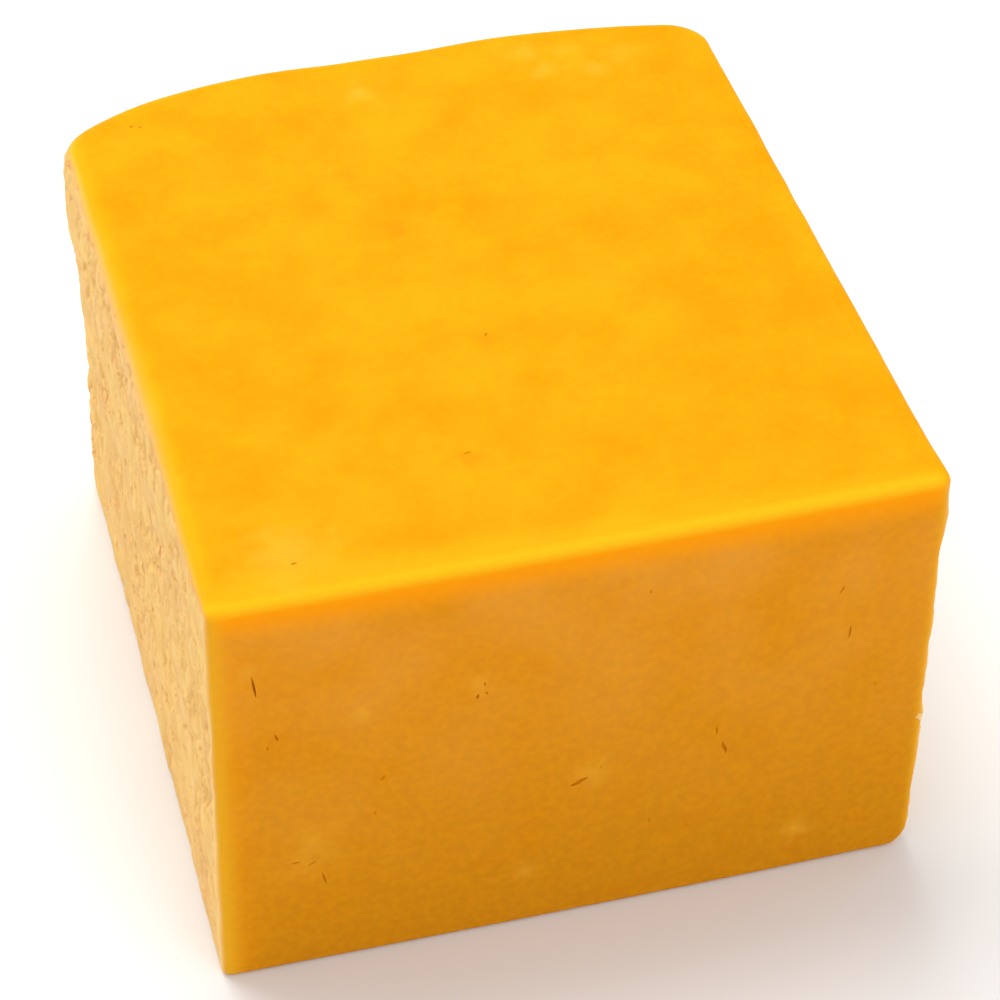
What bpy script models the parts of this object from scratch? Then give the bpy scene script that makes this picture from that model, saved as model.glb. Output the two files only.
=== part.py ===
"""A block of orange cheddar, cut by wire from a larger cheese.

The top and the front are clean wire cuts. The left and right sides are the torn, crumbly faces
of the curd, and the back is rounded where the cheese lay against its mould.
Units are metres, +Z is up, and the front of the block looks towards -Y.
The origin is in the middle of the flat foot.
"""
import math

import bmesh
import bpy
from mathutils import Vector, noise

MM = 0.001

# Driving sizes of the block
WIDTH = 105.0 * MM
DEPTH = 121.0 * MM
HEIGHT = 73.0 * MM

# How the hand-cut faces stray from a true box
LEFT_LEAN_NEAR = 0.7 * MM
LEFT_LEAN_FAR = -0.8 * MM
RIGHT_LEAN = 0.1 * MM
LEFT_TAPER = 0.9 * MM
RIGHT_TAPER = 0.1 * MM
FRONT_SKEW = 0.7 * MM
FRONT_BOW = 0.35 * MM
TOP_RISE = 0.5 * MM

# How far the rounded back falls away at each end, and how suddenly
BACK_FALL_LEFT_TOP = 10.5 * MM
BACK_FALL_LEFT_FOOT = 6.0 * MM
BACK_FALL_RIGHT = 3.6 * MM
BACK_FALL_POWER = 4.2

# Rounding of the four upright edges, seen from above
NEAR_RIGHT_RADIUS = 1.6 * MM
FAR_RIGHT_RADIUS = 5.4 * MM
FAR_LEFT_RADIUS = 4.0 * MM
NEAR_LEFT_RADIUS = 1.3 * MM

# Rounding along the foot and the top of each side
FOOT_RADIUS = {"front": 1.0 * MM, "right": 4.0 * MM, "back": 2.0 * MM, "left": 1.0 * MM}
TOP_RADIUS = {"front": 1.7 * MM, "right": 1.6 * MM, "back": 2.6 * MM, "left": 1.3 * MM}

# The left side's top rounding grows by this towards its far end, and the front's reaches this many
# times further back than it drops
LEFT_TOP_WIDENING = 1.4 * MM
FRONT_TOP_STRETCH = 2.6

# Broad swells and hollows of the torn faces: middle, reach and height
SWELLS = (
    (Vector((52, -59, 66)) * MM, 7.0 * MM, 0.8 * MM),
    (Vector((52, -59, 46)) * MM, 5.0 * MM, 0.7 * MM),
    (Vector((52, -59, 27)) * MM, 8.0 * MM, 0.4 * MM),
    (Vector((-52, 51, 61)) * MM, 7.0 * MM, 0.8 * MM),
    (Vector((-52, 52, 53)) * MM, 5.0 * MM, -0.4 * MM),
    (Vector((-52, 52, 33)) * MM, 14.0 * MM, -0.6 * MM),
    (Vector((-52, 54, 4)) * MM, 8.0 * MM, 0.3 * MM),
    (Vector((21, 61, 72)) * MM, 14.0 * MM, 1.0 * MM),
    (Vector((-18, 61, 72)) * MM, 9.0 * MM, 0.5 * MM),
)

# Relief of the torn faces: knobs of curd, and finer crags between them
KNOB_SIZE = 9.0 * MM
KNOB_HEIGHT = 0.45 * MM
CRAG_SIZE = 5.0 * MM
CRAG_HEIGHT = 0.30 * MM
CRAG_SHIFT = Vector((7.3, 1.9, 4.1))

# The relief is calmer near the foot, which is pressed smooth, and beside the top, where the cut keeps
# the edges straight: how far that reaches, and how much of the relief is left there
CALM_HEIGHT = 9.0 * MM
CALM_SHARE = 0.4
TOP_CALM_HEIGHT = 5.0 * MM
TOP_CALM_SHARE = 0.1

# Spacing of the points round the block and up its sides, wider on the clean cut front
TORN_STEP = 3.0 * MM
FRONT_STEP = 6.0 * MM
STEP_UP = 2.6 * MM
CORNER_STEPS = 4
ROUNDING_STEPS = 6

CHEESE_COLOR = (1.0, 0.40, 0.02, 1.0)
CHEESE_ROUGHNESS = 0.5


def clear_scene():
    for old in list(bpy.data.objects):
        bpy.data.objects.remove(old, do_unlink=True)


def cheese_material():
    material = bpy.data.materials.new("cheese")
    material.use_nodes = True
    shader = material.node_tree.nodes["Principled BSDF"]
    shader.inputs["Base Color"].default_value = CHEESE_COLOR
    shader.inputs["Roughness"].default_value = CHEESE_ROUGHNESS
    shader.inputs["Metallic"].default_value = 0.0
    return material


def corner_arc(side_x, side_y, radius, first_angle):
    """Gives the points of one upright edge, seen from above, each with its direction outward."""
    centre = Vector((side_x * (WIDTH / 2 - radius), side_y * (DEPTH / 2 - radius), 0.0))
    points = []
    for step in range(CORNER_STEPS + 1):
        angle = math.radians(first_angle + 90.0 * step / CORNER_STEPS)
        outward = Vector((math.cos(angle), math.sin(angle), 0.0))
        points.append((centre + outward * radius, outward))
    return points


def straight_run(start, end, outward):
    """Gives the evenly spaced points between two corners, without the corners themselves."""
    spacing = FRONT_STEP if outward.y < -abs(outward.x) else TORN_STEP
    count = max(1, round((end - start).length / spacing))
    return [(start.lerp(end, step / count), outward) for step in range(1, count)]


def block_outline():
    """Gives the points round the block, from its near right edge, each with its direction outward."""
    arcs = (
        corner_arc(1, -1, NEAR_RIGHT_RADIUS, -90.0),
        corner_arc(1, 1, FAR_RIGHT_RADIUS, 0.0),
        corner_arc(-1, 1, FAR_LEFT_RADIUS, 90.0),
        corner_arc(-1, -1, NEAR_LEFT_RADIUS, 180.0),
    )
    outline = []
    for index, arc in enumerate(arcs):
        following = arcs[(index + 1) % len(arcs)]
        outline += arc
        outline += straight_run(arc[-1][0], following[0][0], arc[-1][1])
    return outline


def rounding_in(height, side, widening=0.0, stretch=1.0):
    """Gives how far a side draws in at a height, for its rounded foot and top."""
    foot, top = FOOT_RADIUS[side], TOP_RADIUS[side] + widening
    if height < foot:
        return foot - math.sqrt(foot ** 2 - (foot - height) ** 2)
    if height > HEIGHT - top:
        return stretch * (top - math.sqrt(max(0.0, top ** 2 - (height - HEIGHT + top) ** 2)))
    return 0.0


def between(low, high, share):
    return low + (high - low) * share


def back_fall(across, rise):
    """Gives how far the back falls away. Across runs from -1 at the left to 1 at the right."""
    left = between(BACK_FALL_LEFT_FOOT, BACK_FALL_LEFT_TOP, rise)
    most = left if across < 0 else BACK_FALL_RIGHT
    return most * abs(across) ** BACK_FALL_POWER


def shaped(point, height):
    """Moves a point of the plain outline to its place on the block at a height."""
    across = point.x / (WIDTH / 2)
    along = point.y / (DEPTH / 2)
    rise = height / HEIGHT
    deep = (1 + along) / 2
    if across < 0:
        lean = between(LEFT_LEAN_NEAR, LEFT_LEAN_FAR, deep)
        rounding = rounding_in(height, "left", widening=LEFT_TOP_WIDENING * deep)
        drawn_in = lean * rise + LEFT_TAPER * deep + rounding
    else:
        drawn_in = RIGHT_LEAN * rise + RIGHT_TAPER * deep + rounding_in(height, "right")
    x = point.x - across * drawn_in
    if along < 0:
        rounding = rounding_in(height, "front", stretch=FRONT_TOP_STRETCH)
        pushed_in = FRONT_SKEW * (1 + across) / 2 + FRONT_BOW * across ** 2 + rounding
    else:
        pushed_in = back_fall(across, rise) + rounding_in(height, "back")
    y = point.y - along * pushed_in
    top = HEIGHT - TOP_RISE * (1 - across) / 2
    return Vector((x, y, rise * top))


def swelling(point):
    """Gives how far the broad swells lift a point, each fading smoothly from its middle."""
    total = 0.0
    for middle, reach, height in SWELLS:
        total += height * math.exp(-((point - middle).length / reach) ** 2)
    return total


def torn_relief(point):
    """Gives how far the torn curd stands out at a point."""
    knobs = noise.noise(point / KNOB_SIZE)
    crags = noise.noise(point / CRAG_SIZE + CRAG_SHIFT)
    share = between(CALM_SHARE, 1.0, min(1.0, point.z / CALM_HEIGHT))
    share *= between(TOP_CALM_SHARE, 1.0, min(1.0, (HEIGHT - point.z) / TOP_CALM_HEIGHT))
    return share * (KNOB_HEIGHT * knobs + CRAG_HEIGHT * crags) + swelling(point)


def torn_share(outward):
    """Gives 1 on the torn sides and the back, and 0 on the clean cut front."""
    return outward.x ** 2 + max(0.0, outward.y) ** 2


def level_heights():
    """Gives the heights of the rings, closer together on the rounded foot and top."""
    foot = max(FOOT_RADIUS.values())
    top = max(*TOP_RADIUS.values(), TOP_RADIUS["left"] + LEFT_TOP_WIDENING)
    angles = [math.radians(90.0 * step / ROUNDING_STEPS) for step in range(ROUNDING_STEPS + 1)]
    low = [foot * (1 - math.cos(angle)) for angle in angles]
    high = [HEIGHT - top * (1 - math.cos(angle)) for angle in reversed(angles)]
    count = round((high[0] - low[-1]) / STEP_UP)
    middle = [low[-1] + (high[0] - low[-1]) * step / count for step in range(1, count)]
    return low + middle + high


def ring_of_edges(mesh, height):
    """Makes the closed ring of edges that runs round the block at a height."""
    ring = []
    for point, outward in block_outline():
        place = shaped(point, height)
        place += outward * torn_share(outward) * torn_relief(place)
        ring.append(mesh.verts.new(place))
    return [mesh.edges.new(pair) for pair in zip(ring, ring[1:] + ring[:1])]


def block_mesh():
    """Bridges the rings into the sides, then fills the flat foot and the flat top."""
    mesh = bmesh.new()
    rings = [ring_of_edges(mesh, height) for height in level_heights()]
    for lower, upper in zip(rings, rings[1:]):
        bmesh.ops.bridge_loops(mesh, edges=lower + upper)
    bmesh.ops.edgeloop_fill(mesh, edges=rings[0] + rings[-1])
    bmesh.ops.recalc_face_normals(mesh, faces=mesh.faces[:])
    return mesh


def centre_on_origin(mesh):
    """Puts the middle of the block's outline over the origin."""
    for axis in (0, 1):
        low = min(vert.co[axis] for vert in mesh.verts)
        high = max(vert.co[axis] for vert in mesh.verts)
        for vert in mesh.verts:
            vert.co[axis] -= (low + high) / 2


def make_block():
    mesh = block_mesh()
    centre_on_origin(mesh)
    data = bpy.data.meshes.new("cheddar_block")
    mesh.to_mesh(data)
    mesh.free()
    data.shade_smooth()
    data.materials.append(cheese_material())
    block = bpy.data.objects.new("cheddar_block", data)
    bpy.context.collection.objects.link(block)


clear_scene()
make_block()
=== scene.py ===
"""The finished look of a block of orange cheddar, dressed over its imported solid.

The block here has the solid's own form, worked out from the same named sizes, with finer relief on
the torn sides and with the slits and pits of the cut faces. Small flakes cling to the torn sides.
Units are metres, +Z is up, and the front of the block looks towards -Y.
"""
import math
import random

import bmesh
import bpy
import numpy as np
from mathutils import Matrix, Vector, noise


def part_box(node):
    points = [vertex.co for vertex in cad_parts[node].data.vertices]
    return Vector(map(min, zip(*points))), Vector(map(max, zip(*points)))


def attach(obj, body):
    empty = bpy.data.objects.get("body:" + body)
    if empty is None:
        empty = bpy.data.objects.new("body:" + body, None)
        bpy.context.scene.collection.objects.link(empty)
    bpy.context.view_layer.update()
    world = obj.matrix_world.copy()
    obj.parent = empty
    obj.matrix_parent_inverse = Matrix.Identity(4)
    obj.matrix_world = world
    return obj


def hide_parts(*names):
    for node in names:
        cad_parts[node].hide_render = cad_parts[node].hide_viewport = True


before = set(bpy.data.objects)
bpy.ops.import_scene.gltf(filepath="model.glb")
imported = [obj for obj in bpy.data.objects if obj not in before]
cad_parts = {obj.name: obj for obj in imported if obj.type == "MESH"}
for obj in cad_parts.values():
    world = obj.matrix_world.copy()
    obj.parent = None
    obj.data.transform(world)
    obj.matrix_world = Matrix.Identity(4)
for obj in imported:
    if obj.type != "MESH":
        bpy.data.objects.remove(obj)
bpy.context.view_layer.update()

MM = 0.001

# Driving sizes of the block, the same as the solid's
WIDTH = 105.0 * MM
DEPTH = 121.0 * MM
HEIGHT = 73.0 * MM

# How the hand-cut faces stray from a true box
LEFT_LEAN_NEAR = 0.7 * MM
LEFT_LEAN_FAR = -0.8 * MM
RIGHT_LEAN = 0.1 * MM
LEFT_TAPER = 0.9 * MM
RIGHT_TAPER = 0.1 * MM
FRONT_SKEW = 0.7 * MM
FRONT_BOW = 0.35 * MM
TOP_RISE = 0.5 * MM

# How far the rounded back falls away at each end, and how suddenly
BACK_FALL_LEFT_TOP = 10.5 * MM
BACK_FALL_LEFT_FOOT = 6.0 * MM
BACK_FALL_RIGHT = 3.6 * MM
BACK_FALL_POWER = 4.2

# Rounding of the four upright edges, seen from above
NEAR_RIGHT_RADIUS = 1.6 * MM
FAR_RIGHT_RADIUS = 5.4 * MM
FAR_LEFT_RADIUS = 4.0 * MM
NEAR_LEFT_RADIUS = 1.3 * MM

# Rounding along the foot and the top of each side
FOOT_RADIUS = {"front": 1.0 * MM, "right": 4.0 * MM, "back": 2.0 * MM, "left": 1.0 * MM}
TOP_RADIUS = {"front": 1.7 * MM, "right": 1.6 * MM, "back": 2.6 * MM, "left": 1.3 * MM}

# The left side's top rounding grows by this towards its far end, and the front's reaches this many
# times further back than it drops
LEFT_TOP_WIDENING = 1.4 * MM
FRONT_TOP_STRETCH = 2.6

# Broad swells and hollows of the torn faces: middle, reach and height
SWELLS = (
    (Vector((52, -59, 66)) * MM, 7.0 * MM, 0.8 * MM),
    (Vector((52, -59, 46)) * MM, 5.0 * MM, 0.7 * MM),
    (Vector((52, -59, 27)) * MM, 8.0 * MM, 0.4 * MM),
    (Vector((-52, 51, 61)) * MM, 7.0 * MM, 0.8 * MM),
    (Vector((-52, 52, 53)) * MM, 5.0 * MM, -0.4 * MM),
    (Vector((-52, 52, 33)) * MM, 14.0 * MM, -0.6 * MM),
    (Vector((-52, 54, 4)) * MM, 8.0 * MM, 0.3 * MM),
    (Vector((21, 61, 72)) * MM, 14.0 * MM, 1.0 * MM),
    (Vector((-18, 61, 72)) * MM, 9.0 * MM, 0.5 * MM),
)

# Relief of the torn faces in the solid: knobs of curd, and finer crags between them
KNOB_SIZE = 9.0 * MM
KNOB_HEIGHT = 0.45 * MM
CRAG_SIZE = 5.0 * MM
CRAG_HEIGHT = 0.30 * MM
CRAG_SHIFT = Vector((7.3, 1.9, 4.1))

# The relief is calmer near the foot, which is pressed smooth, and beside the top, where the cut keeps
# the edges straight: how far that reaches, and how much of the relief is left there
CALM_HEIGHT = 9.0 * MM
CALM_SHARE = 0.4
TOP_CALM_HEIGHT = 5.0 * MM
TOP_CALM_SHARE = 0.1

# Finer relief of the torn faces, added here: grains of curd with creases between them
GRAIN_SIZE = 4.4 * MM
GRAIN_HEIGHT = 0.40 * MM
GRAIN_LIFT = 0.3
GRAIN_WARP_SIZE = 3.0 * MM
GRAIN_WARP = 1.5 * MM
GRAIN_SEED = 3
CREASE_WIDTH = 0.34
CREASE_LEAST = 0.15
CREASE_USUAL = 0.6
CREASE_PATCHY = 1.2

# Small holes between the grains, and grit over them
HOLE_SIZE = 2.3 * MM
HOLE_SHIFT = Vector((3.1, 8.7, 5.3))
HOLE_START = 0.34
HOLE_SPAN = 0.25
HOLE_DEPTH = 1.3
GRIT_SIZE = 1.6 * MM
GRIT_HEIGHT = 0.06 * MM

# Faint ripple that the wire leaves on the cut faces
RIPPLE_SIZE = 11.0 * MM
RIPPLE_HEIGHT = 0.05 * MM

# Spacing of the points round the block and up its sides
STEP_ACROSS = 0.85 * MM
STEP_ALONG = 0.72 * MM
STEP_UP = 0.72 * MM
CORNER_STEPS = 6
FOOT_STEPS = 5
TOP_STEPS = 14
ACROSS_COUNT = round(WIDTH / STEP_ACROSS)
ALONG_COUNT = round(DEPTH / STEP_ALONG)

# Where the torn look of the sides ends below the top, and how softly. The left side has borders of its
# own: one at its near end, one that holds from this share of the depth back, and one at its far end.
TORN_BORDER = 1.6 * MM
TORN_BORDER_NEAR = 1.1 * MM
TORN_BORDER_SHARE = 0.35
TORN_BORDER_LEFT = 0.35 * MM
TORN_BORDER_FAR = 0.9 * MM
TORN_FADE = 1.2 * MM
TORN_FADE_NEAR = 2.0 * MM

# How far the upright edges have turned away from the front where the torn look begins
TORN_START = 0.3

# How far the pale lip below the torn look's border reaches, and the pale ridge beside the front's
# upright edges, and how much shallower both are than the rest
LIP_REACH = 1.6 * MM
RIDGE_REACH = 3.0 * MM
BORDER_CALM = 0.85

# The painted highlight, a bright band round the top's near edges: how far it drops over the rounding,
# how softly it ends there, and how soon it is at its brightest
RIM_DROP = 1.85 * MM
RIM_FADE = 1.3 * MM
RIM_RISE = 0.7 * MM

# How strongly the painted highlight tints the flat top beside it, and how far it reaches in from the
# front, at the left and the right end, and in from the left side
RIM_HIGHLIGHT_TINT = 0.6
RIM_REACH_LEFT = 8.5 * MM
RIM_REACH_RIGHT = 5.5 * MM
RIM_REACH_SIDE = 4.5 * MM

# How far the painted glow, the orange of light scattered through the edge, reaches below that band, and
# how strong it is down the front's left end and how far it reaches in from there
GLOW_REACH = 6.0 * MM
SIDE_PAINTED_GLOW = 0.35
SIDE_GLOW_REACH = 8.0 * MM

# How far the olive bands reach in from the front's upright edges, and how strong the right one is
OLIVE_REACH_LEFT = 4.2 * MM
OLIVE_REACH_RIGHT = 2.2 * MM
OLIVE_SHARE_RIGHT = 0.6

# Slits and pits of the cut front: middle across and up, length, width and depth in millimetres, and
# tilt in degrees. A tilt of 0 stands upright, and a positive one leans to the right.
FRONT_SLITS = (
    (-45.9, 57.3, 4.2, 0.38, 0.42, -7.0),
    (-43.2, 47.0, 1.4, 0.42, 0.26, -15.0),
    (-44.5, 45.2, 0.7, 0.30, 0.12, 10.0),
    (-28.5, 35.5, 1.2, 0.40, 0.16, 35.0),
    (-29.7, 28.8, 0.9, 0.35, 0.10, 0.0),
    (-14.9, 48.0, 1.0, 0.45, 0.22, 10.0),
    (-13.6, 48.4, 0.8, 0.32, 0.14, -25.0),
    (-13.9, 50.2, 0.8, 0.32, 0.14, -10.0),
    (-37.3, 17.4, 2.6, 0.34, 0.22, -14.0),
    (-41.3, 21.6, 1.4, 0.28, 0.14, 80.0),
    (-38.9, 20.9, 1.5, 0.30, 0.14, 60.0),
    (0.1, 27.3, 2.9, 0.70, 0.36, 68.0),
    (20.4, 32.4, 1.5, 0.32, 0.18, -4.0),
    (21.7, 28.6, 2.5, 0.62, 0.32, -14.0),
    (39.4, 47.0, 2.6, 0.28, 0.20, 5.0),
    (37.6, 55.5, 1.4, 0.30, 0.14, 25.0),
    (9.5, 61.9, 0.8, 0.30, 0.10, 0.0),
    (44.1, 35.6, 0.9, 0.28, 0.10, -30.0),
    (3.3, 29.5, 0.7, 0.25, 0.08, 15.0),
    (10.9, 16.5, 1.0, 0.32, 0.12, 5.0),
    (16.7, 14.0, 0.7, 0.30, 0.08, 0.0),
)

# Pits of the cut top, listed alike: middle across and along, and the tilt from the depth direction
TOP_PITS = (
    (-1.6, -14.1, 0.9, 0.40, 0.14, 20.0),
    (-41.6, 49.4, 0.7, 0.50, 0.12, 80.0),
    (-40.3, 49.0, 0.7, 0.40, 0.12, 80.0),
    (-10.7, -38.6, 1.5, 0.30, 0.10, 70.0),
    (-38.6, -54.7, 0.9, 0.40, 0.10, 85.0),
)

# How finely the cutter of each slit is divided
CUTTER_SEGMENTS = 14
CUTTER_RINGS = 10

# How ragged the slits are and how finely, how pointed their ends, how far they bend to one side, and
# how far apart in the noise one slit lies from the next
CUTTER_RAGGED = 0.18
CUTTER_FINENESS = 2.0
CUTTER_POINTED = 0.45
CUTTER_BEND = 0.5
CUTTER_SPREAD = 3.0

# Soft paler or darker spots of the cut faces: middle and reach in millimetres, and strength, which is
# below 0 for dark, then how uneven their outlines are, and over what size
FRONT_SPOTS = (
    (33.9, 8.5, 1.4, 0.6),
    (-6.9, 17.2, 2.2, -0.5),
    (-38.4, 25.3, 2.6, 0.4),
    (-40.0, 20.6, 2.8, 0.3),
    (-14.6, 50.2, 1.5, 0.5),
    (-46.4, 60.3, 1.1, 0.4),
    (-27.4, 34.9, 1.0, 0.4),
    (2.4, 28.9, 2.2, 0.4),
    (-28.5, 35.5, 1.3, -0.5),
    (-29.7, 28.8, 1.2, -0.4),
    (-31.1, 48.4, 1.3, 0.4),
    (-7.7, 10.6, 1.4, 0.5),
    (-43.0, 45.6, 1.8, -0.4),
)
TOP_SPOTS = (
    (-38.8, -52.0, 4.5, 0.6),
    (-5.4, 49.7, 2.0, 0.6),
    (22.0, 54.6, 2.2, 0.45),
    (24.7, 49.0, 1.7, 0.5),
    (29.0, 53.6, 1.8, 0.35),
    (31.8, 47.5, 1.9, 0.45),
    (37.6, 50.5, 2.4, 0.3),
    (-8.2, 14.7, 2.6, -0.5),
    (-11.9, 29.5, 2.4, -0.4),
    (-1.6, -14.1, 2.0, -0.5),
    (-10.3, -39.4, 2.2, -0.6),
)
SPOT_UNEVEN = 0.75
SPOT_UNEVEN_SIZE = 2.2 * MM

# Broad, faint shifts of the cut top towards its paler or, below 0, its deeper orange, listed alike
TOP_TONES = (
    (-28.0, -46.0, 15.0, 0.5),
    (0.0, -48.0, 14.0, 0.3),
    (2.4, -6.8, 14.0, 0.5),
    (-10.5, 14.0, 12.0, 0.4),
    (2.2, 40.0, 12.0, 0.3),
    (-38.0, -12.0, 11.0, -0.6),
    (-44.0, 12.0, 9.0, -0.4),
    (36.0, -40.0, 14.0, -0.5),
    (38.0, -8.0, 14.0, -0.5),
    (40.0, 38.0, 14.0, -0.4),
)

# Flakes that cling to the torn faces: how many, their half lengths, and their half widths and
# half thicknesses as shares of that
FLAKE_COUNT = 70
FLAKE_SMALLEST = 0.35 * MM
FLAKE_LARGEST = 1.1 * MM
FLAKE_WIDTHS = (0.5, 0.9)
FLAKE_THICKNESSES = (0.3, 0.5)

# Where the flakes lie, and how ragged they are and how finely
FLAKE_LOWEST = 2.0 * MM
FLAKE_HIGHEST = 66.0 * MM
FLAKE_LEAST_TORN = 0.9
FLAKE_SEED = 7
FLAKE_RAGGED = 0.35
FLAKE_FINENESS = 1.4

# Flakes that the cut has left beside the near right edge, with their sizes
PLACED_FLAKES = (
    (Vector((51.7, -60.0, 27.3)) * MM, 0.6 * MM),
    (Vector((52.0, -59.6, 26.4)) * MM, 0.45 * MM),
)

# The camera that the photograph was taken with, as fitted to the block's outline
CAMERA_PLACE = Vector((-101.41, -389.62, 382.30)) * MM
CAMERA_AZIMUTH = -15.214
CAMERA_ELEVATION = 41.272
CAMERA_ROLL = 0.572
CAMERA_LENS = 124.73
CAMERA_NEAREST = 10.0 * MM
CAMERA_FARTHEST = 20.0

# The studio: soft panels with their places, sizes and powers, an even sky and a pale floor
KEY_PLACE = Vector((-0.15, 0.45, 1.05))
KEY_SIZE = 0.8
KEY_POWER = 9.6
FILL_PLACE = Vector((0.35, -1.0, 0.8))
FILL_SIZE = 0.9
FILL_POWER = 3.2
SKY_COLOR = (1.0, 1.0, 1.0, 1.0)
SKY_STRENGTH = 0.75
FLOOR_COLOR = (0.82, 0.82, 0.82, 1.0)
FLOOR_ROUGHNESS = 0.9
FLOOR_GLOSS = 0.1
FLOOR_HALF_SIZE = 4.0

# Colours of the cheese, as linear values
TOP_DEEP = (0.93, 0.275, 0.001, 1.0)
TOP_PALE = (0.94, 0.336, 0.004, 1.0)
# Painted shade: the front's colours are the cut cheese painted darker than the top's, for the weaker
# light that falls on the front
FRONT_DEEP_SHADED = (0.71, 0.256, 0.008, 1.0)
FRONT_PALE_SHADED = (0.75, 0.296, 0.028, 1.0)
# Painted shade of the front's foot
FRONT_FOOT_PAINTED_SHADE = (0.62, 0.236, 0.006, 1.0)
# Painted highlight of the top's rounded near edges
RIM_HIGHLIGHT = (0.95, 0.470, 0.010, 1.0)
# Painted glow: the orange of light scattered through the top's front edge
PAINTED_GLOW = (0.98, 0.320, 0.002, 1.0)
OLIVE = (0.78, 0.405, 0.018, 1.0)
SPOT_PALE = (0.88, 0.450, 0.040, 1.0)
SPOT_DARK = (0.66, 0.215, 0.002, 1.0)
GRAIN_PALE = (0.93, 0.400, 0.005, 1.0)
# Painted shade inside the slits and pits
SLIT_PAINTED_SHADE = (0.62, 0.215, 0.003, 1.0)
# The torn colours are partly the curd's own paler, drier colour and partly painted sheen, the white
# light that the rough torn faces reflect at a low angle
TORN_PEACH_AND_SHEEN = (0.925, 0.572, 0.225, 1.0)
TORN_STRAW_AND_SHEEN = (0.92, 0.585, 0.190, 1.0)
TORN_TAN = (0.75, 0.400, 0.125, 1.0)
TORN_FLECK = (0.94, 0.630, 0.235, 1.0)
TORN_LIP = (0.88, 0.420, 0.140, 1.0)

# Painted shade towards the foot: from the first of these heights down to the second, the front turns to
# the browner colour of its foot, and the torn faces take on this share of their tan
PAINTED_FOOT_SHADE_LIMITS = (62.0 * MM, 12.0 * MM)
TORN_PAINTED_FOOT_SHADE = 0.16

# Sizes of the broad patches of colour, of the curds and of the finest grain, and their detail
MOTTLE_SIZE = 6.0 * MM
CURD_SIZE = 3.0 * MM
FINE_SIZE = 0.6 * MM
MOTTLE_DETAIL = 3.0
CURD_DETAIL = 2.0
FINE_DETAIL = 2.0

# Between which values of those patches, or of a mark, each tint comes in
MOTTLE_LIMITS = (0.32, 0.68)
SPOTTED_LIMITS = (0.54, 0.74)
GRAIN_LIMITS = (0.35, 0.70)
TAN_LIMITS = (0.60, 0.34)
FLECK_LIMITS = (0.55, 0.80)
HOLLOW_PAINTED_SHADE_LIMITS = (0.1, 1.2)
RIDGE_LIMITS = (0.0, 0.6)
PALE_SPOT_LIMITS = (0.0, 1.0)
DARK_SPOT_LIMITS = (0.0, -1.0)

# How strong each tint is at its strongest, and how far the tones shift the broad patches
SPOTTED_SHARE = 0.3
PALE_SPOT_SHARE = 0.7
DARK_SPOT_SHARE = 0.9
GRAIN_SHARE = 0.2
TAN_SHARE = 0.4
# Painted shade in the creases and holes of the torn curd
HOLLOW_PAINTED_SHADE_SHARE = 0.7
FLECK_SHARE = 0.5
RIDGE_SHARE = 0.9
TONE_SHIFT = 0.12

# Patches of colour on the flakes
FLAKE_TONE_SIZE = 2.0 * MM
FLAKE_TONE_DETAIL = 1.0
FLAKE_TONE_LIMITS = (0.4, 0.6)

# How the cheese takes light, on its cut faces and on its torn ones
CUT_ROUGHNESS = 0.42
TORN_ROUGHNESS = 0.8
CUT_BUMP = 0.06
TORN_BUMP = 0.15
BUMP_DEPTH = 0.2 * MM
GLOSS = 0.01
SCATTER_SHARE = 0.35
SCATTER_REACH = 0.6 * MM
SCATTER_COLORS = (1.0, 0.5, 0.2)


def between(low, high, share):
    return low + (high - low) * share


def smooth(share):
    """Turns an even share from 0 to 1 into one that starts and ends gently."""
    share = min(1.0, max(0.0, share))
    return share * share * (3.0 - 2.0 * share)


def fading(distance, reach):
    """Gives 1 at no distance, falling gently to 0 at the reach."""
    return smooth(1.0 - distance / reach)


# The block's own form


def corner_arc(side_x, side_y, radius, first_angle):
    """Gives the points of one upright edge, seen from above, each with its direction outward."""
    centre = Vector((side_x * (WIDTH / 2 - radius), side_y * (DEPTH / 2 - radius), 0.0))
    points = []
    for step in range(CORNER_STEPS + 1):
        angle = math.radians(first_angle + 90.0 * step / CORNER_STEPS)
        outward = Vector((math.cos(angle), math.sin(angle), 0.0))
        points.append((centre + outward * radius, outward))
    return points


def straight_run(start, end, outward, count):
    """Gives the evenly spaced points between two corners, without the corners themselves."""
    return [(start.lerp(end, step / count), outward) for step in range(1, count)]


def block_outline():
    """Gives the points round the block, from its near right edge, each with its direction outward."""
    arcs = (
        corner_arc(1, -1, NEAR_RIGHT_RADIUS, -90.0),
        corner_arc(1, 1, FAR_RIGHT_RADIUS, 0.0),
        corner_arc(-1, 1, FAR_LEFT_RADIUS, 90.0),
        corner_arc(-1, -1, NEAR_LEFT_RADIUS, 180.0),
    )
    counts = (ALONG_COUNT, ACROSS_COUNT, ALONG_COUNT, ACROSS_COUNT)
    outline = []
    for index, arc in enumerate(arcs):
        following = arcs[(index + 1) % len(arcs)]
        outline += arc
        outline += straight_run(arc[-1][0], following[0][0], arc[-1][1], counts[index])
    return outline


def rounding_in(height, side, widening=0.0, stretch=1.0):
    """Gives how far a side draws in at a height, for its rounded foot and top."""
    foot, top = FOOT_RADIUS[side], TOP_RADIUS[side] + widening
    if height < foot:
        return foot - math.sqrt(foot ** 2 - (foot - height) ** 2)
    if height > HEIGHT - top:
        return stretch * (top - math.sqrt(max(0.0, top ** 2 - (height - HEIGHT + top) ** 2)))
    return 0.0


def back_fall(across, rise):
    """Gives how far the back falls away. Across runs from -1 at the left to 1 at the right."""
    left = between(BACK_FALL_LEFT_FOOT, BACK_FALL_LEFT_TOP, rise)
    most = left if across < 0 else BACK_FALL_RIGHT
    return most * abs(across) ** BACK_FALL_POWER


def top_height(across):
    """Gives the height of the top, which is a little lower at its left."""
    return HEIGHT - TOP_RISE * (1 - across) / 2


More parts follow.
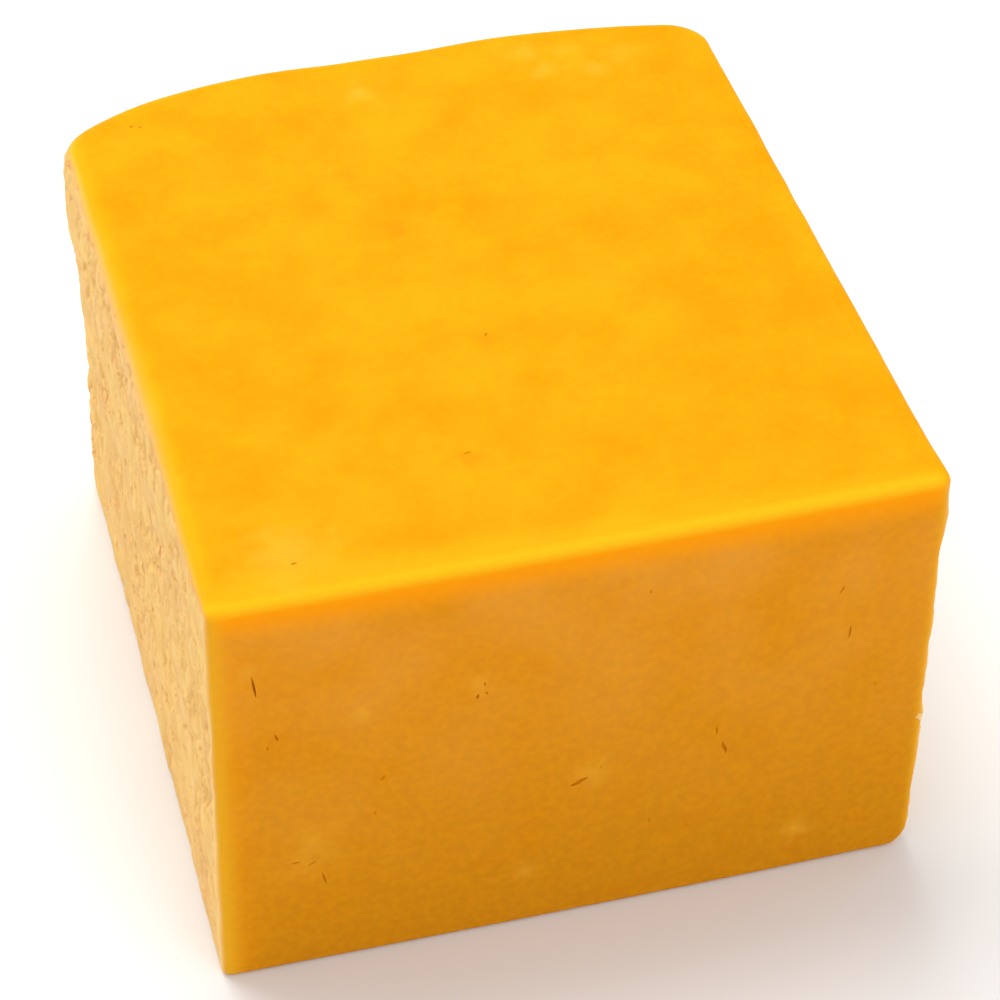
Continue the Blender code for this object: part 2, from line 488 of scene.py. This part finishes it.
def shaped(point, height):
    """Moves a point of the plain outline to its place on the block at a height."""
    across = point.x / (WIDTH / 2)
    along = point.y / (DEPTH / 2)
    rise = height / HEIGHT
    deep = (1 + along) / 2
    if across < 0:
        lean = between(LEFT_LEAN_NEAR, LEFT_LEAN_FAR, deep)
        rounding = rounding_in(height, "left", widening=LEFT_TOP_WIDENING * deep)
        drawn_in = lean * rise + LEFT_TAPER * deep + rounding
    else:
        drawn_in = RIGHT_LEAN * rise + RIGHT_TAPER * deep + rounding_in(height, "right")
    x = point.x - across * drawn_in
    if along < 0:
        rounding = rounding_in(height, "front", stretch=FRONT_TOP_STRETCH)
        pushed_in = FRONT_SKEW * (1 + across) / 2 + FRONT_BOW * across ** 2 + rounding
    else:
        pushed_in = back_fall(across, rise) + rounding_in(height, "back")
    y = point.y - along * pushed_in
    return Vector((x, y, rise * top_height(across)))


def swelling(point):
    """Gives how far the broad swells lift a point, each fading smoothly from its middle."""
    total = 0.0
    for middle, reach, height in SWELLS:
        total += height * math.exp(-((point - middle).length / reach) ** 2)
    return total


def torn_relief(point):
    """Gives how far the torn curd of the solid stands out at a point."""
    knobs = noise.noise(point / KNOB_SIZE)
    crags = noise.noise(point / CRAG_SIZE + CRAG_SHIFT)
    share = between(CALM_SHARE, 1.0, min(1.0, point.z / CALM_HEIGHT))
    share *= between(TOP_CALM_SHARE, 1.0, min(1.0, (HEIGHT - point.z) / TOP_CALM_HEIGHT))
    return share * (KNOB_HEIGHT * knobs + CRAG_HEIGHT * crags) + swelling(point)


def torn_share(outward):
    """Gives 1 on the torn sides and the back, and 0 on the clean cut front and top."""
    return outward.x ** 2 + max(0.0, outward.y) ** 2


def front_share(outward):
    """Gives 1 on the clean cut front, and 0 on the other faces."""
    return max(0.0, -outward.y) ** 2


def left_share(outward):
    """Gives 1 on the torn left side, and 0 on the other faces."""
    return max(0.0, -outward.x) ** 2


def even_cosines(steps):
    """Gives the cosines of evenly spaced angles over a quarter turn."""
    return [math.cos(math.radians(90.0 * step / steps)) for step in range(steps + 1)]


def level_heights():
    """Gives the heights of the rings, closer together on the rounded foot and top."""
    foot = max(FOOT_RADIUS.values())
    top = max(*TOP_RADIUS.values(), TOP_RADIUS["left"] + LEFT_TOP_WIDENING)
    low = [foot * (1 - cosine) for cosine in even_cosines(FOOT_STEPS)]
    high = [HEIGHT - top * (1 - cosine) for cosine in reversed(even_cosines(TOP_STEPS))]
    count = round((high[0] - low[-1]) / STEP_UP)
    middle = [low[-1] + (high[0] - low[-1]) * step / count for step in range(1, count)]
    return low + middle + high


# Where each kind of surface shows


def summed_spots(spots, across, other, stretch=1.0):
    """Adds up soft spots, each fading from its middle, at a point of the front or the top.

    A stretch of more than 1 lengthens the distance to every spot, and so makes the spots smaller.
    """
    total = 0.0
    for spot_across, spot_other, reach, strength in spots:
        distance = math.hypot(across - spot_across * MM, other - spot_other * MM)
        total += strength * math.exp(-(stretch * distance / (reach * MM)) ** 2)
    return total


def spot_strength(place, outward, drop):
    """Gives how pale or dark the soft, uneven spots make a point of the cut front or top."""
    if torn_share(outward) > 0.5:
        return 0.0
    stretch = 1.0 + SPOT_UNEVEN * noise.noise(place / SPOT_UNEVEN_SIZE)
    if front_share(outward) > 0.5 and drop > RIM_DROP:
        return summed_spots(FRONT_SPOTS, place.x, place.z, stretch)
    return summed_spots(TOP_SPOTS, place.x, place.y, stretch)


def hollow_depth(point):
    """Gives how deep a point of torn curd lies in a crease between two grains, or in a hole."""
    warped = point + GRAIN_WARP * noise.noise_vector(point / GRAIN_WARP_SIZE)
    distances, _ = noise.voronoi(warped / GRAIN_SIZE)
    crease = 1.0 - smooth((distances[1] - distances[0]) / CREASE_WIDTH)
    patchy = CREASE_USUAL + CREASE_PATCHY * noise.noise(point / KNOB_SIZE + CRAG_SHIFT)
    hole = smooth((noise.noise(point / HOLE_SIZE + HOLE_SHIFT) - HOLE_START) / HOLE_SPAN)
    calm = between(CALM_SHARE, 1.0, min(1.0, point.z / CALM_HEIGHT))
    return calm * max(crease * max(CREASE_LEAST, patchy), HOLE_DEPTH * hole)


def torn_limits(outward, deep):
    """Gives how far below the top the torn look ends, and how softly.

    Deep runs from 0 at the front to 1 at the back.
    """
    left = left_share(outward)
    climb = smooth(deep / TORN_BORDER_SHARE)
    left_border = between(TORN_BORDER_LEFT, TORN_BORDER_FAR, deep ** 2)
    left_border = between(TORN_BORDER_NEAR, left_border, climb)
    fade = between(TORN_FADE, TORN_FADE_NEAR, left * (1 - climb))
    return between(TORN_BORDER, left_border, left), fade


def marks_at(place, outward):
    """Gives how strongly each kind of surface shows at a point. Outward is zero on the flat top."""
    across = 2 * place.x / WIDTH
    deep = place.y / DEPTH + 0.5
    drop = top_height(across) - place.z
    from_front = place.y + DEPTH / 2
    from_left = place.x + WIDTH / 2
    from_right = WIDTH / 2 - place.x
    torn_border, torn_fade = torn_limits(outward, deep)
    turned = smooth((torn_share(outward) - TORN_START) / (1 - TORN_START))
    torn = turned * smooth((drop - torn_border) / torn_fade + 0.5)
    lip = turned * fading(drop - torn_border, LIP_REACH)
    ridge = torn * fading(from_front, RIDGE_REACH)
    rough = torn * (1 - BORDER_CALM * max(lip, ridge))
    below_rim = smooth((drop - RIM_DROP) / RIM_FADE + 0.5)
    front = front_share(outward) * below_rim
    rim_reach = between(RIM_REACH_LEFT, RIM_REACH_RIGHT, (1 + across) / 2)
    tint = RIM_HIGHLIGHT_TINT * max(fading(from_front, rim_reach), fading(from_left, RIM_REACH_SIDE))
    facing_near = front_share(outward) + left_share(outward)
    # Painted highlight: the rim mark brightens the rounded near edges of the top and the flat top
    # beside them
    rim = max(tint, facing_near * smooth(drop / RIM_RISE))
    # Painted glow below the top's front edge and down the front's left end
    glow = max(fading(drop - RIM_DROP, GLOW_REACH), SIDE_PAINTED_GLOW * fading(from_left, SIDE_GLOW_REACH))
    olive_right = OLIVE_SHARE_RIGHT * fading(from_right, OLIVE_REACH_RIGHT)
    return {
        "torn": torn,
        "hollow": rough * hollow_depth(place) if rough > 0.0 else 0.0,
        "lip": lip,
        "ridge": ridge,
        "front": front,
        "rim": rim * (1 - below_rim),
        "glow": glow * front_share(outward) * smooth(drop / RIM_RISE),
        "olive": below_rim * (1 - torn) * max(fading(from_left, OLIVE_REACH_LEFT), olive_right),
        "spot": spot_strength(place, outward, drop),
        "tone": summed_spots(TOP_TONES, place.x, place.y) * (1 - front),
    }


# The body of the block


class BlockPoints:
    """Collects the points and faces of the block, with the marks of each point."""

    def __init__(self):
        self.places = []
        self.marks = []
        self.faces = []

    def add(self, place, outward):
        self.places.append(place)
        self.marks.append(marks_at(place, outward))
        return len(self.places) - 1


def add_rings(block):
    """Adds the sides, ring by ring, and gives the lowest and the highest ring."""
    outline = block_outline()
    rings = []
    for height in level_heights():
        ring = []
        for point, outward in outline:
            place = shaped(point, height)
            place += outward * torn_share(outward) * torn_relief(place)
            ring.append(block.add(place, outward))
        rings.append(ring)
    count = len(outline)
    for lower, upper in zip(rings, rings[1:]):
        for index in range(count):
            following = (index + 1) % count
            block.faces.append((lower[index], lower[following], upper[following], upper[index]))
    return rings[0], rings[-1]


def ring_sides(ring):
    """Splits a ring at the middle of its four corners, into the right, far, left and near side."""
    half = CORNER_STEPS // 2
    counts = (ALONG_COUNT + CORNER_STEPS, ACROSS_COUNT + CORNER_STEPS) * 2
    turned = ring[half:] + ring[:half]
    sides, start = [], 0
    for count in counts:
        sides.append([turned[(start + step) % len(ring)] for step in range(count + 1)])
        start += count
    return sides


def add_top(block, ring):
    """Fills the highest ring with a grid of points, each blended from the four sides round it."""
    right, far, left, near = ring_sides(ring)
    left, far = left[::-1], far[::-1]
    rows, columns = len(right) - 1, len(near) - 1
    places = block.places
    low_left, low_right = places[near[0]], places[near[-1]]
    high_left, high_right = places[far[0]], places[far[-1]]
    grid = [near]
    for row in range(1, rows):
        up = row / rows
        line = [left[row]]
        for column in range(1, columns):
            across = column / columns
            place = places[left[row]].lerp(places[right[row]], across)
            place += places[near[column]].lerp(places[far[column]], up)
            place -= low_left.lerp(low_right, across).lerp(high_left.lerp(high_right, across), up)
            line.append(block.add(place, Vector()))
        line.append(right[row])
        grid.append(line)
    grid.append(far)
    for lower, upper in zip(grid, grid[1:]):
        for column in range(columns):
            block.faces.append((lower[column], lower[column + 1], upper[column + 1], upper[column]))


def fine_relief(point, marks):
    """Gives how far the surface stands out beyond the solid's own form."""
    grit = GRIT_HEIGHT * noise.noise(point / GRIT_SIZE)
    rough = GRAIN_HEIGHT * (GRAIN_LIFT - marks["hollow"]) + grit
    ripple = RIPPLE_HEIGHT * noise.noise(point / RIPPLE_SIZE)
    return between(ripple, rough, marks["torn"])


def add_fine_relief(mesh, marks):
    """Moves each point of the mesh in or out by the finer relief, but keeps the foot flat."""
    normals = [vert.normal.copy() for vert in mesh.vertices]
    places = [vert.co.copy() for vert in mesh.vertices]
    for index, place in enumerate(places):
        if place.z > 0.0:
            moved = place + normals[index] * fine_relief(place, marks[index])
            moved.z = max(0.0, moved.z)
            places[index] = moved
    mesh.vertices.foreach_set("co", np.array(places).ravel())
    mesh.update()


def centred(places, box):
    """Gives the places moved so that they lie over the middle of a box."""
    low, high = box
    points = np.array(places)
    shift = (np.array(low) + np.array(high) - points.min(0) - points.max(0)) / 2
    shift[2] = 0.0
    return points + shift


def linked(name, mesh):
    made = bpy.data.objects.new(name, mesh)
    bpy.context.scene.collection.objects.link(made)
    return made


def mark_points(mesh, all_marks):
    """Gives the mesh the marks of its points, one attribute for each kind of surface."""
    for name in all_marks[0]:
        layer = mesh.attributes.new(name, "FLOAT", "POINT")
        layer.data.foreach_set("value", [marks[name] for marks in all_marks])


def mark_faces(mesh, value):
    """Says of every face whether it lies inside a slit, as 1 or 0."""
    layer = mesh.attributes.new("slit", "FLOAT", "FACE")
    layer.data.foreach_set("value", [value] * len(mesh.polygons))


def block_body():
    """Builds the closed body of the block, before its slits and pits are cut."""
    block = BlockPoints()
    foot, top = add_rings(block)
    block.faces.append(tuple(reversed(foot)))
    add_top(block, top)
    places = centred(block.places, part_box("cheddar_block"))
    mesh = bpy.data.meshes.new("cheddar")
    mesh.from_pydata(places.tolist(), [], block.faces)
    mesh.update()
    add_fine_relief(mesh, block.marks)
    mark_points(mesh, block.marks)
    mark_faces(mesh, 0.0)
    return linked("cheddar", mesh)


# Slits and pits


def on_surface(body, start, direction):
    """Gives the first place on the body that a straight line from a start meets."""
    found, place, _, _ = body.ray_cast(start, direction)
    if not found:
        raise ValueError(f"nothing lies beyond {start}")
    return place


def slit_frames(body):
    """Gives, for every slit and pit, the matrix that stretches an upright unit ball into its cutter."""
    lying = Matrix.Rotation(math.radians(-90.0), 4, "X")
    frames = []
    for across, up, length, width, depth, tilt in FRONT_SLITS:
        place = on_surface(body, Vector((across * MM, -DEPTH, up * MM)), Vector((0, 1, 0)))
        size = Matrix.Diagonal((width * MM / 2, depth * MM, length * MM / 2, 1.0))
        turn = Matrix.Rotation(math.radians(tilt), 4, "Y")
        frames.append(Matrix.Translation(place) @ turn @ size)
    for across, along, length, width, depth, tilt in TOP_PITS:
        place = on_surface(body, Vector((across * MM, along * MM, 2 * HEIGHT)), Vector((0, 0, -1)))
        size = Matrix.Diagonal((width * MM / 2, depth * MM, length * MM / 2, 1.0))
        turn = Matrix.Rotation(math.radians(-tilt), 4, "Z")
        frames.append(Matrix.Translation(place) @ turn @ lying @ size)
    return frames


def slit_shaped(point, index):
    """Turns a point of the unit ball into one of a pointed, bent and ragged slit."""
    own = Vector((CUTTER_SPREAD * index, 0, 0))
    shaped_point = point * (1.0 + CUTTER_RAGGED * noise.noise(CUTTER_FINENESS * point + own))
    shaped_point.x *= 1.0 - CUTTER_POINTED * point.z ** 2
    shaped_point.x += CUTTER_BEND * noise.noise(Vector((0, 0, point.z)) + own)
    return shaped_point


def slit_cutter(body):
    """Joins one ragged ball for each slit and pit into a single cutter."""
    cutter = bmesh.new()
    for index, placing in enumerate(slit_frames(body)):
        ball = bmesh.ops.create_uvsphere(
            cutter, u_segments=CUTTER_SEGMENTS, v_segments=CUTTER_RINGS, radius=1.0)
        for vert in ball["verts"]:
            vert.co = placing @ slit_shaped(vert.co, index)
    mesh = bpy.data.meshes.new("slit_cutter")
    cutter.to_mesh(mesh)
    cutter.free()
    mark_faces(mesh, 1.0)
    return linked("slit_cutter", mesh)


def cut_slits(body):
    """Cuts the slits and pits out of the body for good, and takes the cutter away."""
    bpy.context.view_layer.update()
    cutter = slit_cutter(body)
    cut = body.modifiers.new("slits", "BOOLEAN")
    cut.operation = "DIFFERENCE"
    cut.solver = "MANIFOLD"
    cut.object = cutter
    graph = bpy.context.evaluated_depsgraph_get()
    mesh = bpy.data.meshes.new_from_object(body.evaluated_get(graph))
    body.modifiers.clear()
    body.data = mesh
    bpy.data.objects.remove(cutter, do_unlink=True)


def mark_slits(mesh):
    """Gives the points of every slit the marks of the surface round it, which the cut leaves at 0."""
    inside = mesh.attributes["slit"].data
    touched = set()
    for face in mesh.polygons:
        if inside[face.index].value > 0.5:
            touched.update(face.vertices)
    for index in touched:
        place = mesh.vertices[index].co
        outward = Vector((0, -1, 0)) if place.z < HEIGHT - RIM_DROP else Vector()
        for name, value in marks_at(place, outward).items():
            mesh.attributes[name].data[index].value = value


def sharpen_slits(mesh):
    """Makes the rim of every slit a sharp edge, so that its shade stays inside it."""
    made = bmesh.new()
    made.from_mesh(mesh)
    inside = made.faces.layers.float["slit"]
    for edge in made.edges:
        kinds = {face[inside] > 0.5 for face in edge.link_faces}
        edge.smooth = len(kinds) == 1
    made.to_mesh(mesh)
    made.free()


# Flakes


def add_flake(flakes, vert, size, draw):
    """Adds one flat, ragged flake that is sunk halfway into the surface at a point of the body."""
    width, thickness = draw.uniform(*FLAKE_WIDTHS), draw.uniform(*FLAKE_THICKNESSES)
    shape = Matrix.Diagonal((size, size * width, size * thickness, 1.0))
    spin = Matrix.Rotation(draw.uniform(0.0, math.tau), 4, "Z")
    facing = vert.normal.to_track_quat("Z", "Y").to_matrix().to_4x4()
    placing = Matrix.Translation(vert.co) @ facing @ spin @ shape
    lump = bmesh.ops.create_icosphere(flakes, subdivisions=2, radius=1.0)
    for corner in lump["verts"]:
        ragged = 1.0 + FLAKE_RAGGED * noise.noise(FLAKE_FINENESS * corner.co + vert.co / MM)
        corner.co = placing @ (corner.co * ragged)


def flake_mesh(body):
    """Scatters small flakes over the torn faces, and puts a few in places of their own."""
    draw = random.Random(FLAKE_SEED)
    torn = body.data.attributes["torn"].data
    candidates = []
    for vert in body.data.vertices:
        if torn[vert.index].value > FLAKE_LEAST_TORN and FLAKE_LOWEST < vert.co.z < FLAKE_HIGHEST:
            candidates.append(vert)
    flakes = bmesh.new()
    for vert in draw.sample(candidates, FLAKE_COUNT):
        size = between(FLAKE_SMALLEST, FLAKE_LARGEST, draw.random() ** 2)
        add_flake(flakes, vert, size, draw)
    for place, size in PLACED_FLAKES:
        nearest = min(body.data.vertices, key=lambda vert: (vert.co - place).length_squared)
        add_flake(flakes, nearest, size, draw)
    mesh = bpy.data.meshes.new("flakes")
    flakes.to_mesh(mesh)
    flakes.free()
    return mesh


# Materials

# The sockets of a Mix node that blends colours
FACTOR, COLOR_A, COLOR_B, COLOR_OUT = 0, 6, 7, 2


def node(tree, kind, inputs, **settings):
    """Adds a shader node. An input that is a socket is linked, and any other value is set."""
    made = tree.nodes.new("ShaderNode" + kind)
    for name, value in settings.items():
        setattr(made, name, value)
    for name, value in inputs.items():
        if isinstance(value, bpy.types.NodeSocket):
            tree.links.new(value, made.inputs[name])
        else:
            made.inputs[name].default_value = value
    return made


def mixed(tree, share, first, second):
    """Blends two colours by a share from 0 to 1."""
    inputs = {FACTOR: share, COLOR_A: first, COLOR_B: second}
    return node(tree, "Mix", inputs, data_type="RGBA").outputs[COLOR_OUT]


def ranged(tree, value, low, high, to_low=0.0, to_high=1.0):
    """Maps a value between two limits to another range, and holds it there."""
    inputs = {"Value": value, "From Min": low, "From Max": high, "To Min": to_low, "To Max": to_high}
    return node(tree, "MapRange", inputs).outputs["Result"]


def tinted(tree, base, value, limits, share, tint):
    """Brings a tint into a colour, by up to a share, as a value goes from one limit to the other."""
    return mixed(tree, ranged(tree, value, *limits, 0.0, share), base, tint)


def patches(tree, size, detail):
    """Gives smooth noise from 0 to 1, in patches of about one size."""
    coords = node(tree, "TexCoord", {}).outputs["Object"]
    return node(tree, "TexNoise", {"Vector": coords, "Scale": 0.5 / size, "Detail": detail}).outputs[0]


def mark(tree, name):
    """Gives one of the marks that the mesh carries."""
    return node(tree, "Attribute", {}, attribute_name=name).outputs["Fac"]


def height_of(tree):
    """Gives the height above the foot."""
    coords = node(tree, "TexCoord", {}).outputs["Object"]
    return node(tree, "SeparateXYZ", {"Vector": coords}).outputs["Z"]


def cut_color(tree, mottle, curd, fine):
    """The softly mottled orange of a clean wire cut, with painted shade on the front and low down, and
    a painted highlight and painted glow along its edges.
    """
    spot = mark(tree, "spot")
    top = mixed(tree, mottle, TOP_DEEP, TOP_PALE)
    # Painted shade: the front is painted darker than the top
    front = mixed(tree, mottle, FRONT_DEEP_SHADED, FRONT_PALE_SHADED)
    # Painted shade: the front darkens towards its foot
    front = tinted(tree, front, height_of(tree), PAINTED_FOOT_SHADE_LIMITS, 1.0, FRONT_FOOT_PAINTED_SHADE)
    front = tinted(tree, front, curd, SPOTTED_LIMITS, SPOTTED_SHARE, SPOT_DARK)
    color = mixed(tree, mark(tree, "front"), top, front)
    # Painted glow below the top's front edge
    color = mixed(tree, mark(tree, "glow"), color, PAINTED_GLOW)
    color = mixed(tree, mark(tree, "olive"), color, OLIVE)
    # Painted highlight along the top's near edges
    color = mixed(tree, mark(tree, "rim"), color, RIM_HIGHLIGHT)
    color = tinted(tree, color, spot, PALE_SPOT_LIMITS, PALE_SPOT_SHARE, SPOT_PALE)
    color = tinted(tree, color, spot, DARK_SPOT_LIMITS, DARK_SPOT_SHARE, SPOT_DARK)
    return tinted(tree, color, fine, GRAIN_LIMITS, GRAIN_SHARE, GRAIN_PALE)


def torn_color(tree, mottle, curd, fine):
    """The paler, drier curd of the torn faces with painted sheen in its paleness, tan streaks, light
    flecks, and painted shade in its creases and low down.
    """
    # Painted sheen: the torn base colours are paler for the white light the rough faces reflect
    base = mixed(tree, mottle, TORN_PEACH_AND_SHEEN, TORN_STRAW_AND_SHEEN)
    base = tinted(tree, base, curd, TAN_LIMITS, TAN_SHARE, TORN_TAN)
    # Painted shade: the creases and holes of the torn curd darken towards tan
    base = tinted(tree, base, mark(tree, "hollow"), HOLLOW_PAINTED_SHADE_LIMITS, HOLLOW_PAINTED_SHADE_SHARE, TORN_TAN)
    # Painted shade: the torn faces darken towards the foot
    base = tinted(tree, base, height_of(tree), PAINTED_FOOT_SHADE_LIMITS, TORN_PAINTED_FOOT_SHADE, TORN_TAN)
    base = tinted(tree, base, fine, FLECK_LIMITS, FLECK_SHARE, TORN_FLECK)
    base = mixed(tree, mark(tree, "lip"), base, TORN_LIP)
    return tinted(tree, base, mark(tree, "ridge"), RIDGE_LIMITS, RIDGE_SHARE, TORN_FLECK)


def cheese_color(tree, torn, fine):
    """The colours of the cut and the torn faces, and painted shade, a darker brown, inside the slits.
    """
    tone = ranged(tree, mark(tree, "tone"), -1.0, 1.0, -TONE_SHIFT, TONE_SHIFT)
    broad = patches(tree, MOTTLE_SIZE, MOTTLE_DETAIL)
    toned = node(tree, "Math", {0: broad, 1: tone}, operation="ADD").outputs[0]
    mottle = ranged(tree, toned, *MOTTLE_LIMITS)
    curd = patches(tree, CURD_SIZE, CURD_DETAIL)
    cut_look = cut_color(tree, mottle, curd, fine)
    torn_look = torn_color(tree, mottle, curd, fine)
    color = mixed(tree, torn, cut_look, torn_look)
    # Painted shade inside the slits and pits
    return mixed(tree, mark(tree, "slit"), color, SLIT_PAINTED_SHADE)


def new_material(name):
    """Makes a plain material, and gives it with its nodes and its shader."""
    material = bpy.data.materials.new(name)
    material.use_nodes = True
    tree = material.node_tree
    return material, tree, tree.nodes["Principled BSDF"]


def cheese_material():
    material, tree, shader = new_material("cheese")
    torn = mark(tree, "torn")
    fine = patches(tree, FINE_SIZE, FINE_DETAIL)
    tree.links.new(cheese_color(tree, torn, fine), shader.inputs["Base Color"])
    roughness = ranged(tree, torn, 0.0, 1.0, CUT_ROUGHNESS, TORN_ROUGHNESS)
    tree.links.new(roughness, shader.inputs["Roughness"])
    shader.inputs["Specular IOR Level"].default_value = GLOSS
    shader.inputs["Subsurface Weight"].default_value = SCATTER_SHARE
    shader.inputs["Subsurface Radius"].default_value = SCATTER_COLORS
    shader.inputs["Subsurface Scale"].default_value = SCATTER_REACH
    strength = ranged(tree, torn, 0.0, 1.0, CUT_BUMP, TORN_BUMP)
    bump = node(tree, "Bump", {"Height": fine, "Strength": strength, "Distance": BUMP_DEPTH})
    tree.links.new(bump.outputs["Normal"], shader.inputs["Normal"])
    return material


def flake_material():
    material, tree, shader = new_material("flake")
    tone = ranged(tree, patches(tree, FLAKE_TONE_SIZE, FLAKE_TONE_DETAIL), *FLAKE_TONE_LIMITS)
    tree.links.new(mixed(tree, tone, TORN_PEACH_AND_SHEEN, TORN_FLECK), shader.inputs["Base Color"])
    shader.inputs["Roughness"].default_value = TORN_ROUGHNESS
    shader.inputs["Specular IOR Level"].default_value = GLOSS
    return material


def floor_material():
    material, _, shader = new_material("floor")
    shader.inputs["Base Color"].default_value = FLOOR_COLOR
    shader.inputs["Roughness"].default_value = FLOOR_ROUGHNESS
    shader.inputs["Specular IOR Level"].default_value = FLOOR_GLOSS
    return material


# The pieces


def make_cheddar():
    # Without its own seed the warp of the grains would take one from the clock, and change each run
    noise.seed_set(GRAIN_SEED)
    body = block_body()
    cut_slits(body)
    mark_slits(body.data)
    sharpen_slits(body.data)
    body.data.materials.clear()
    body.data.materials.append(cheese_material())
    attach(body, "root")
    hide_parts("cheddar_block")
    return body


def make_flakes(body):
    flakes = linked("flakes", flake_mesh(body))
    flakes.data.shade_smooth()
    flakes.data.materials.append(flake_material())
    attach(flakes, "root")


# The studio


def make_floor():
    mesh = bmesh.new()
    bmesh.ops.create_grid(mesh, x_segments=1, y_segments=1, size=FLOOR_HALF_SIZE)
    data = bpy.data.meshes.new("floor")
    mesh.to_mesh(data)
    mesh.free()
    data.materials.append(floor_material())
    linked("floor", data)


def make_light(name, place, size, power):
    """Adds one large soft panel that faces the block."""
    light = bpy.data.lights.new(name, "AREA")
    light.shape = "DISK"
    light.size = size
    light.energy = power
    lamp = bpy.data.objects.new(name, light)
    lamp.location = place
    aim = Vector((0.0, 0.0, HEIGHT / 2)) - place
    lamp.rotation_euler = aim.to_track_quat("-Z", "Y").to_euler()
    bpy.context.scene.collection.objects.link(lamp)


def make_sky():
    world = bpy.data.worlds.new("studio")
    world.use_nodes = True
    sky = world.node_tree.nodes["Background"]
    sky.inputs["Color"].default_value = SKY_COLOR
    sky.inputs["Strength"].default_value = SKY_STRENGTH
    bpy.context.scene.world = world
    bpy.context.scene.view_settings.view_transform = "Standard"


def make_camera():
    azimuth = math.radians(CAMERA_AZIMUTH)
    elevation = math.radians(CAMERA_ELEVATION)
    level = Vector((-math.sin(azimuth), math.cos(azimuth), 0.0))
    looking = level * math.cos(elevation) - Vector((0.0, 0.0, math.sin(elevation)))
    lens = bpy.data.cameras.new("camera")
    lens.lens = CAMERA_LENS
    lens.clip_start = CAMERA_NEAREST
    lens.clip_end = CAMERA_FARTHEST
    camera = bpy.data.objects.new("camera", lens)
    turn = looking.to_track_quat("-Z", "Y").to_matrix().to_4x4()
    roll = Matrix.Rotation(math.radians(CAMERA_ROLL), 4, "Z")
    camera.matrix_world = Matrix.Translation(CAMERA_PLACE) @ turn @ roll
    bpy.context.scene.collection.objects.link(camera)
    bpy.context.scene.camera = camera


cheddar = make_cheddar()
make_flakes(cheddar)
make_floor()
make_light("key", KEY_PLACE, KEY_SIZE, KEY_POWER)
make_light("fill", FILL_PLACE, FILL_SIZE, FILL_POWER)
make_sky()
make_camera()
